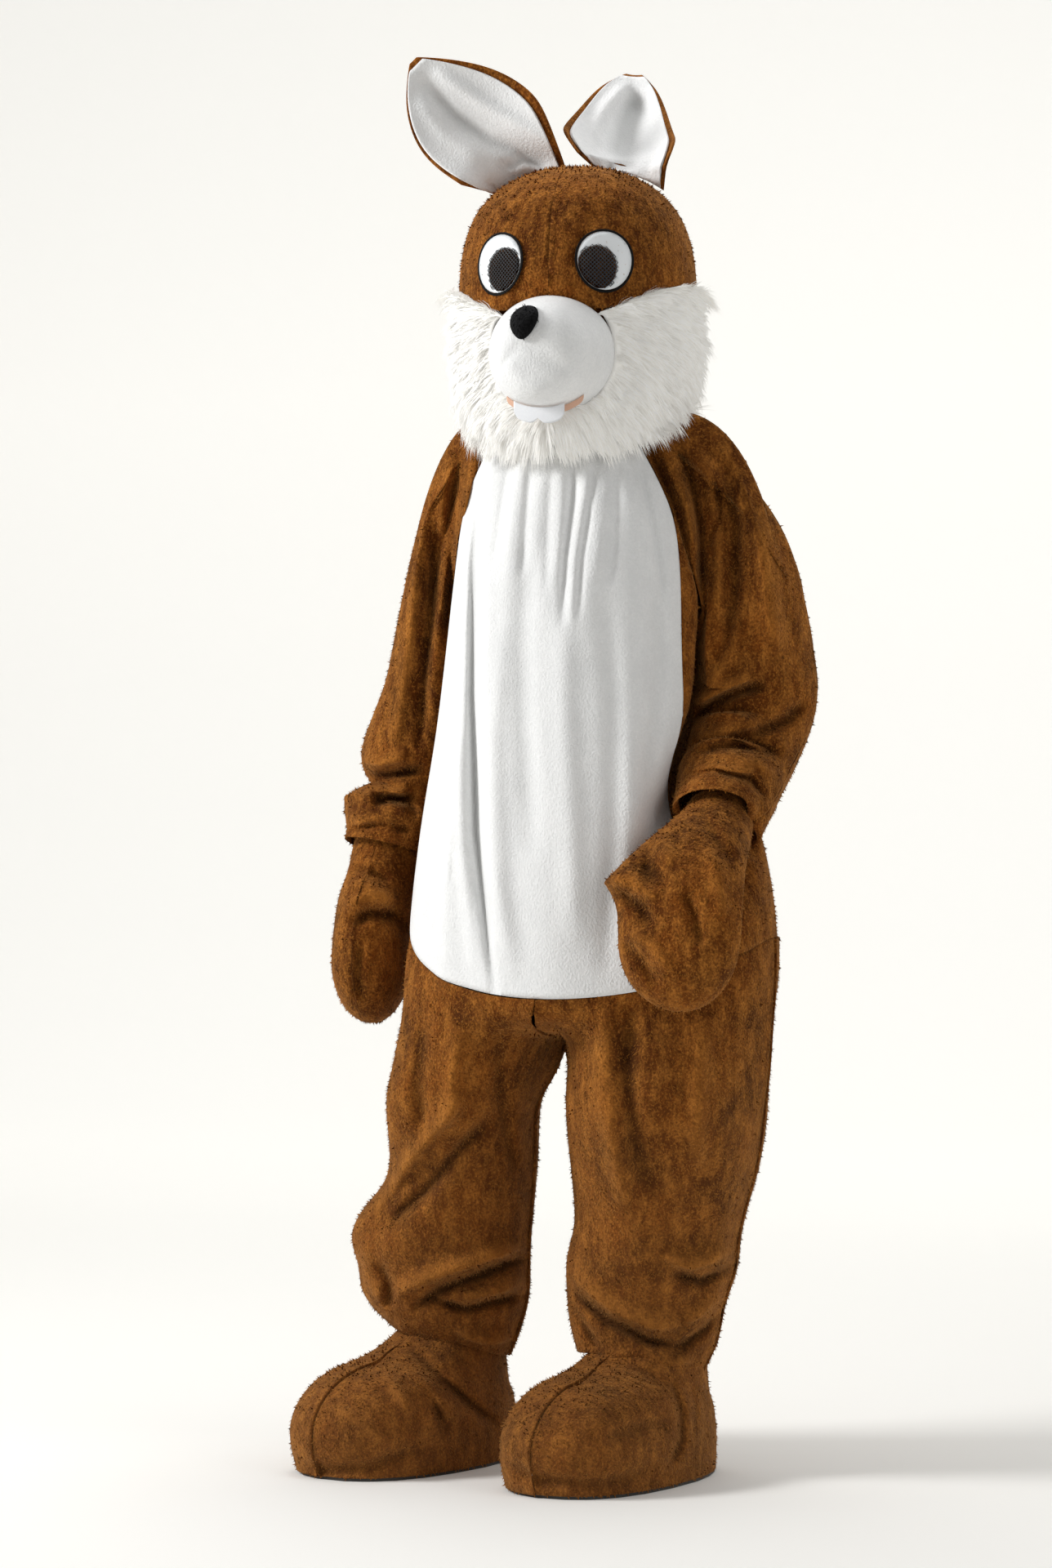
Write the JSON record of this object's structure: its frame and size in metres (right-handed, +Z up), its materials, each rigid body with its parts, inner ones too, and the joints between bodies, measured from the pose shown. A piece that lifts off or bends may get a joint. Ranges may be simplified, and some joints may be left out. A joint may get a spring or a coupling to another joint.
{
  "type": "rabbit mascot costume",
  "caption": "Plush rabbit costume as worn: baggy suit with raglan sleeves, gathered belly panel, mittens, big padded shoes and a hollow head with long ears, fur cheeks and teeth",
  "frame": {"origin": "middle of the neck opening at the top of the suit, between the wearer's shoulders, 1.462 m above the floor", "axes": "+Z up, -Y the way the costume faces, +X towards its left side"},
  "size_m": [0.715, 0.4935, 1.9555],
  "materials": {
    "brown_plush": "cinnamon brown plush with a short brushed pile",
    "white_plush": "white plush with a short dense pile",
    "long_fur": "warm white long pile fur, swept down and out",
    "black_plush": "black plush with a very short pile",
    "white_felt": "white felt",
    "peach_lining": "peach woven lining",
    "white_vinyl": "white vinyl sheet, semi gloss",
    "black_net": "black open polyester net",
    "black_thread": "black satin stitch",
    "sole": "dark smooth sole sheet"
  },
  "bodies": {
    "root": {"front_belly": "white_plush", "back_left": "brown_plush", "back_right": "brown_plush", "back_placket": "brown_plush", "sleeve_left_front": "brown_plush", "sleeve_left_back": "brown_plush", "sleeve_right_front": "brown_plush", "sleeve_right_back": "brown_plush", "mitten_left_back": "brown_plush", "mitten_left_palm": "brown_plush", "mitten_right_back": "brown_plush", "mitten_right_palm": "brown_plush", "leg_left_front": "brown_plush", "leg_left_back": "brown_plush", "leg_right_front": "brown_plush", "leg_right_back": "brown_plush", "shoe_left_outer": "brown_plush", "shoe_left_inner": "brown_plush", "shoe_left_sole": "sole", "shoe_right_outer": "brown_plush", "shoe_right_inner": "brown_plush", "shoe_right_sole": "sole", "head_front_left": "brown_plush", "head_front_right": "brown_plush", "head_back_left": "brown_plush", "head_back_right": "brown_plush", "cheek_left": "long_fur", "cheek_right": "long_fur", "muzzle": "white_plush", "nose": "black_plush", "teeth": "white_felt", "mouth_lining": "peach_lining", "eye_white_left": "white_vinyl", "eye_white_right": "white_vinyl", "eye_mesh_left": "black_net", "eye_mesh_right": "black_net", "eye_border_left": "black_thread", "eye_border_right": "black_thread", "ear_left_back": "brown_plush", "ear_left_lining": "white_plush", "ear_right_back": "brown_plush", "ear_right_lining": "white_plush"}
  },
  "joints": []
}
